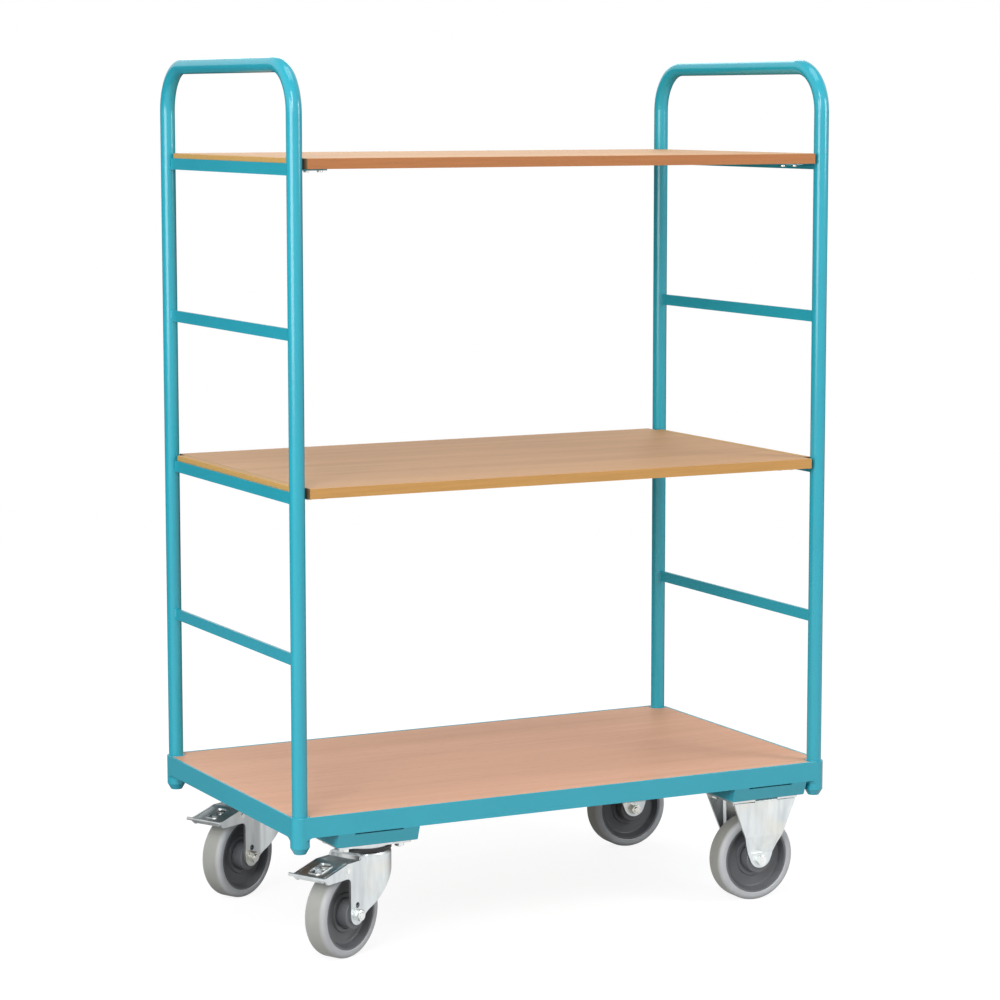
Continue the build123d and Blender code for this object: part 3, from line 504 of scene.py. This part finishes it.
# Fasteners: zinc plated bolts, nuts, screws, pins and kingpins, turned or forged and a little
# brighter and smoother than the sheet.
FASTENER_LIGHT = "#E8EAE8"
FASTENER_DARK = "#D0D4D4"
FASTENER_STRAW = "#E4DFD0"
FASTENER_ROUGHNESS = 0.24
FASTENER_NODES = [
    "deck_screws", "socket_set_screws", "shelf_screws", "caster_bolts", "caster_nuts", "kingpins",
    "front_pedal_pin", "rear_pedal_pin", "front_swivel_axle_bolt", "rear_swivel_axle_bolt",
    "front_swivel_axle_nut", "rear_swivel_axle_nut", "fixed_axle_bolts", "fixed_axle_nuts",
]
zinc_fastener = bright_metal(
    "bright_zinc_fastener", FASTENER_LIGHT, FASTENER_DARK, FASTENER_STRAW, FASTENER_ROUGHNESS
)
dress(zinc_fastener, *FASTENER_NODES)

# Seal rings: black polyamide rings round the swivel heads, which keep dirt out of the ball races.
# They are moulded, with a fine matt grain.
SEAL_BLACK = "#141416"
SEAL_BLACK_PALE = "#1E1E20"
SEAL_ROUGHNESS = 0.42
SEAL_GRAIN_MM = 2.0
SHEEN_MM = 22.2
SHEEN_SPREAD = 0.07
PLASTIC_GRAIN_HEIGHT = 0.0003
PLASTIC_GRAIN_STRENGTH = 0.12
PLASTIC_IOR = 1.49


def moulded_plastic(name, colour, worn, roughness, grain_mm):
    """Moulded plastic: one deep colour, a fine spark-eroded grain and a slightly uneven sheen. The
    real grain is 0.1 mm, too fine to show, so it is drawn about twenty times as coarse."""
    material, tree, surface, place = new_material(name)
    grain = add_node(
        tree, "TexNoise", {"Vector": place, "Scale": MM_PER_M / grain_mm, "Detail": 2.0}
    )
    sheen = add_node(
        tree, "TexNoise", {"Vector": place, "Scale": MM_PER_M / SHEEN_MM, "Detail": 2.0}
    )
    tone = add_node(
        tree, "Mix", {SHARE: sheen.outputs[0], FROM: linear(colour), TO: linear(worn)},
        data_type="RGBA",
    )
    gloss = add_node(
        tree, "MapRange",
        {"Value": sheen.outputs[0],
         "To Min": roughness - SHEEN_SPREAD, "To Max": roughness + SHEEN_SPREAD},
    )
    skin = add_node(
        tree, "Bump",
        {"Height": grain.outputs[0], "Strength": PLASTIC_GRAIN_STRENGTH,
         "Distance": PLASTIC_GRAIN_HEIGHT},
    )
    tree.links.new(tone.outputs[MIXED], surface.inputs["Base Color"])
    tree.links.new(gloss.outputs[0], surface.inputs["Roughness"])
    tree.links.new(skin.outputs[0], surface.inputs["Normal"])
    surface.inputs["IOR"].default_value = PLASTIC_IOR
    return material


black_polyamide = moulded_plastic(
    "black_polyamide", SEAL_BLACK, SEAL_BLACK_PALE, SEAL_ROUGHNESS, SEAL_GRAIN_MM
)
dress(black_polyamide, "front_seal_ring", "rear_seal_ring")

# Wheels: dark grey polypropylene rims with ball bearings in their hubs and a band of grey rubber
# moulded on, smooth on the tread and paler on the shoulders.
RIM_GREY = "#5E6063"
RIM_GREY_PALE = "#696B6E"
RIM_ROUGHNESS = 0.40
RIM_GRAIN_MM = 2.5
TREAD_GREY = "#9A9B96"
SHOULDER_GREY = "#BEC0C3"
SHOULDER_START = 0.012
SHOULDER_END = 0.0215
RUBBER_ROUGHNESS = 0.55
RUBBER_IOR = 1.52
RUBBER_CLOUD_MM = 26.3
RUBBER_DARKEST, RUBBER_LIGHTEST = 0.9, 1.08
RUBBER_GRAIN_MM = 2.38
RUBBER_GRAIN_HEIGHT = 0.0004
RUBBER_GRAIN_STRENGTH = 0.14
FLASH_HALF_WIDTH = 0.0004
FLASH_FOOT = 0.0010
BEARING_LIGHT = "#B9BCBE"
BEARING_DARK = "#A5A9AC"
BEARING_STRAW = "#B5B5B2"
BEARING_ROUGHNESS = 0.22
WHEELS = ["front_swivel", "rear_swivel", "front_fixed", "rear_fixed"]


def rubber_band(name, centre, axle):
    """Non-marking grey rubber: matt, with the tread a little darker and warmer than the shoulders
    and a fine flash line left by the mould at mid width. w is the distance from the wheel's middle
    plane. The real grain is 0.2 mm, too fine to show, so it is drawn about twelve times as
    coarse."""
    material, tree, surface, place = new_material(name)
    arm = add_node(tree, "VectorMath", {0: place, 1: centre}, operation="SUBTRACT")
    side = add_node(tree, "VectorMath", {0: arm.outputs[0], 1: axle}, operation="DOT_PRODUCT")
    w = add_node(tree, "Math", {0: side.outputs["Value"]}, operation="ABSOLUTE")
    shoulder = add_node(
        tree, "MapRange",
        {"Value": w.outputs[0], "From Min": SHOULDER_START, "From Max": SHOULDER_END},
        interpolation_type="SMOOTHSTEP",
    )
    cloud = add_node(
        tree, "TexNoise", {"Vector": place, "Scale": MM_PER_M / RUBBER_CLOUD_MM, "Detail": 4.0}
    )
    zone = add_node(
        tree, "Mix",
        {SHARE: shoulder.outputs[0], FROM: linear(TREAD_GREY), TO: linear(SHOULDER_GREY)},
        data_type="RGBA",
    )
    shade = add_node(
        tree, "MapRange",
        {"Value": cloud.outputs[0], "To Min": RUBBER_DARKEST, "To Max": RUBBER_LIGHTEST},
    )
    mottled = add_node(
        tree, "Mix", {SHARE: 1.0, FROM: zone.outputs[MIXED], TO: shade.outputs[0]},
        data_type="RGBA", blend_type="MULTIPLY",
    )
    flash = add_node(
        tree, "MapRange",
        {"Value": w.outputs[0], "From Min": FLASH_HALF_WIDTH, "From Max": FLASH_FOOT,
         "To Min": 1.0, "To Max": 0.0},
    )
    grain = add_node(
        tree, "TexNoise", {"Vector": place, "Scale": MM_PER_M / RUBBER_GRAIN_MM, "Detail": 2.0}
    )
    height = add_node(
        tree, "Math", {0: grain.outputs[0], 1: flash.outputs[0]}, operation="ADD"
    )
    skin = add_node(
        tree, "Bump",
        {"Height": height.outputs[0], "Strength": RUBBER_GRAIN_STRENGTH,
         "Distance": RUBBER_GRAIN_HEIGHT},
    )
    tree.links.new(mottled.outputs[MIXED], surface.inputs["Base Color"])
    tree.links.new(skin.outputs[0], surface.inputs["Normal"])
    surface.inputs["Roughness"].default_value = RUBBER_ROUGHNESS
    surface.inputs["IOR"].default_value = RUBBER_IOR
    return material


rim_plastic = moulded_plastic(
    "grey_polypropylene", RIM_GREY, RIM_GREY_PALE, RIM_ROUGHNESS, RIM_GRAIN_MM
)
bearing_steel = bright_metal(
    "ground_bearing_steel", BEARING_LIGHT, BEARING_DARK, BEARING_STRAW, BEARING_ROUGHNESS
)
for joint in frame["joints"]:
    wheel = joint["name"].removesuffix("_wheel_spin")
    if wheel in WHEELS:
        centre, axle = tuple(joint["pos_m"]), tuple(joint["axis"])
        dress(rubber_band(f"grey_rubber_{wheel}", centre, axle), f"{wheel}_tyre")
        dress(rim_plastic, f"{wheel}_rim")
        dress(bearing_steel, f"{wheel}_bearings")
dress(bearing_steel, "swivel_balls")

# Studio: a wide white floor that keeps a faint shadow, a pale surround and large soft lamps. Floor
# and surround are white to the eye, and in reflections bright in front and dim far behind.
FLOOR_HALF = 14.0
FLOOR_GLOW = 0.88
FLOOR_LIT = 0.20
FLOOR_BOUNCE = 0.35
LIT_NEAR = 2.5
LIT_FAR = 6.0
BACK_REFLECTION = 0.06
FRONT_REFLECTION = 1.0
CEILING_REFLECTION = 0.40
FRONT_AMBIENT = 0.48
BACK_AMBIENT = 0.34
FLOOR_DIM_START, FLOOR_DIM_END = -0.5, 0.6
SKY_DIM_START, SKY_DIM_END = -0.3, 0.3
BACKDROP_FOOT, BACKDROP_TOP = -0.02, 0.12
CEILING_START, CEILING_END = 0.45, 0.90
AMBIENT_START, AMBIENT_END = -0.8, 0.8
WHITE = (1.0, 1.0, 1.0, 1.0)

# Sockets of a Mix node of plain numbers: the number at share 0, the one at share 1, the result.
AT_ZERO, AT_ONE, BLENDED = 2, 3, 0

# Each lamp's place, its width and height, and its power in watts.
LAMPS = {
    "key_softbox": ((-3.2, -3.7, 3.4), (1.6, 2.6), 108.0),
    "right_softbox": ((1.75, -1.8, 1.75), (0.7, 0.9), 20.0),
    "left_softbox": ((-4.38, -2.19, 1.7), (3.2, 2.2), 128.0),
    "top_softbox": ((0.0, -0.4, 4.6), (3.0, 2.0), 52.0),
    "back_softbox": ((1.4, 3.6, 3.2), (2.4, 1.8), 34.0),
}


def studio_floor():
    """Matt white floor: most of its brightness is its own for the eye and for reflections, so that
    it stays white, and the rest is lit, so that the shadows under the wheels stay. The lit share
    fades out between LIT_NEAR and LIT_FAR from the trolley. In reflections the floor dims from its
    front to its back."""
    material, tree, surface, place = new_material("white_floor")
    ray = add_node(tree, "LightPath")
    away = add_node(tree, "VectorMath", {0: place}, operation="LENGTH").outputs["Value"]
    lit = add_node(
        tree, "MapRange",
        {"Value": away, "From Min": LIT_NEAR, "From Max": LIT_FAR,
         "To Min": FLOOR_LIT, "To Max": 0.0},
        interpolation_type="SMOOTHSTEP",
    )
    own = add_node(
        tree, "MapRange",
        {"Value": away, "From Min": LIT_NEAR, "From Max": LIT_FAR,
         "To Min": FLOOR_GLOW, "To Max": 1.0},
        interpolation_type="SMOOTHSTEP",
    )
    depth = add_node(tree, "SeparateXYZ", {"Vector": place}).outputs["Y"]
    mirrored = add_node(
        tree, "MapRange",
        {"Value": depth, "From Min": FLOOR_DIM_START, "From Max": FLOOR_DIM_END,
         "To Min": FRONT_REFLECTION, "To Max": BACK_REFLECTION},
        interpolation_type="SMOOTHSTEP",
    )
    straight = add_node(
        tree, "Math",
        {0: ray.outputs["Is Camera Ray"], 1: ray.outputs["Is Transmission Ray"]},
        operation="MAXIMUM",
    )
    to_eye = add_node(
        tree, "Math", {0: straight.outputs[0], 1: own.outputs[0]}, operation="MULTIPLY"
    )
    glow = add_node(
        tree, "Math",
        {0: ray.outputs["Is Glossy Ray"], 1: mirrored.outputs[0], 2: to_eye.outputs[0]},
        operation="MULTIPLY_ADD",
    )
    white = add_node(
        tree, "Mix",
        {SHARE: ray.outputs["Is Diffuse Ray"], AT_ZERO: lit.outputs[0], AT_ONE: FLOOR_BOUNCE},
    )
    tree.links.new(white.outputs[BLENDED], surface.inputs["Base Color"])
    tree.links.new(glow.outputs[0], surface.inputs["Emission Strength"])
    surface.inputs["Roughness"].default_value = 1.0
    surface.inputs["Specular IOR Level"].default_value = 0.0
    surface.inputs["Emission Color"].default_value = WHITE
    return material


def pale_surround():
    """White world: full white to the eye, dim behind and overhead in reflections, and a soft light
    that falls from front to back."""
    world = bpy.data.worlds.new("pale_surround")
    world.use_nodes = True
    sky = world.node_tree
    ray = add_node(sky, "LightPath")
    generated = add_node(sky, "TexCoord").outputs["Generated"]
    way = add_node(sky, "SeparateXYZ", {"Vector": generated})
    distant = add_node(
        sky, "MapRange",
        {"Value": way.outputs["Y"], "From Min": SKY_DIM_START, "From Max": SKY_DIM_END,
         "To Min": FRONT_REFLECTION, "To Max": BACK_REFLECTION},
        interpolation_type="SMOOTHSTEP",
    )
    backdrop = add_node(
        sky, "MapRange",
        {"Value": way.outputs["Z"], "From Min": BACKDROP_FOOT, "From Max": BACKDROP_TOP,
         "To Min": distant.outputs[0], "To Max": 1.0},
        interpolation_type="SMOOTHSTEP",
    )
    ceiling = add_node(
        sky, "MapRange",
        {"Value": way.outputs["Z"], "From Min": CEILING_START, "From Max": CEILING_END,
         "To Min": 1.0, "To Max": CEILING_REFLECTION},
        interpolation_type="SMOOTHSTEP",
    )
    mirrored = add_node(
        sky, "Math", {0: backdrop.outputs[0], 1: ceiling.outputs[0]}, operation="MULTIPLY"
    )
    ambient = add_node(
        sky, "MapRange",
        {"Value": way.outputs["Y"], "From Min": AMBIENT_START, "From Max": AMBIENT_END,
         "To Min": FRONT_AMBIENT, "To Max": BACK_AMBIENT},
        interpolation_type="SMOOTHSTEP",
    )
    glossy = add_node(
        sky, "Mix",
        {SHARE: ray.outputs["Is Glossy Ray"], AT_ZERO: ambient.outputs[0],
         AT_ONE: mirrored.outputs[0]},
    )
    straight = add_node(
        sky, "Math",
        {0: ray.outputs["Is Camera Ray"], 1: ray.outputs["Is Transmission Ray"]},
        operation="MAXIMUM",
    )
    level = add_node(
        sky, "Mix", {SHARE: straight.outputs[0], AT_ZERO: glossy.outputs[BLENDED], AT_ONE: 1.0}
    )
    sky.nodes["Background"].inputs["Color"].default_value = WHITE
    sky.links.new(level.outputs[BLENDED], sky.nodes["Background"].inputs["Strength"])
    return world


corner = np.array([-FLOOR_HALF, FLOOR_HALF])
floor_x, floor_y = np.meshgrid(corner, corner, indexing="ij")
floor_points = np.stack([floor_x, floor_y, np.full((2, 2), cad_low.z)], axis=-1)
floor = surface_mesh("floor", floor_points[None])
floor.data.materials.append(studio_floor())
bpy.context.scene.world = pale_surround()

aim = (cad_low + cad_high) / 2
for name, (place, size, power) in LAMPS.items():
    light = bpy.data.lights.new(name, "AREA")
    light.shape = "RECTANGLE"
    light.size, light.size_y = size
    light.energy = power
    lamp = bpy.data.objects.new(name, light)
    lamp.location = place
    lamp.rotation_euler = (aim - Vector(place)).to_track_quat("-Z", "Y").to_euler()
    lamp.visible_camera = False
    bpy.context.scene.collection.objects.link(lamp)

# Camera: a long lens at chest height, left of the front face, as the trolley was photographed.
CAMERA_YAW = 26.923
CAMERA_PITCH = 7.215
CAMERA_ROLL = -0.024
CAMERA_PLACE = (-2.6145, -5.1570, 1.4813)
CAMERA_LENS = 113.69
CAMERA_REACH = 60.0
yaw, pitch = radians(CAMERA_YAW), radians(CAMERA_PITCH)
forward = Vector((sin(yaw) * cos(pitch), cos(yaw) * cos(pitch), -sin(pitch)))
level_turn = forward.to_track_quat("-Z", "Y").to_matrix()
turn = level_turn @ Matrix.Rotation(radians(CAMERA_ROLL), 3, "Z")
camera = bpy.data.objects.new("camera", bpy.data.cameras.new("camera"))
camera.data.lens = CAMERA_LENS
camera.data.clip_end = CAMERA_REACH
camera.matrix_world = Matrix.Translation(CAMERA_PLACE) @ turn.to_4x4()
bpy.context.scene.collection.objects.link(camera)
bpy.context.scene.camera = camera
bpy.context.scene.view_settings.view_transform = "Standard"
